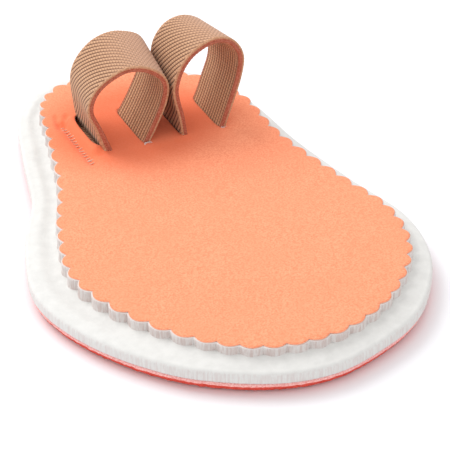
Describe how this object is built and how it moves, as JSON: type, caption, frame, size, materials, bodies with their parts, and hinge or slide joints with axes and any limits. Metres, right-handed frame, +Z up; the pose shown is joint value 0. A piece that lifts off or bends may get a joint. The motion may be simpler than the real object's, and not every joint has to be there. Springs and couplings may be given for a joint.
{
  "type": "toe regulator pad",
  "caption": "Soft forefoot pad with an elastic strap that makes two loops to hold toes straight.",
  "frame": {"origin": "middle of the pad's box on the floor, under the backing", "axes": "+Z up, +Y towards the toes along the toe loops, +X across the foot"},
  "size_m": [0.0734, 0.1105, 0.0285],
  "materials": {
    "backing_cloth": "thin coral knit with a fuzzy cut edge",
    "base_foam": "matte white latex foam",
    "top_foam": "matte white latex foam with a pinked edge",
    "cover_cloth": "napped peach-orange moleskin",
    "strap_elastic": "ribbed woven tan elastic"
  },
  "bodies": {
    "root": {"backing": "backing_cloth", "base_pad": "base_foam", "top_pad": "top_foam", "top_cover": "cover_cloth", "toe_strap": "strap_elastic"}
  },
  "joints": []
}
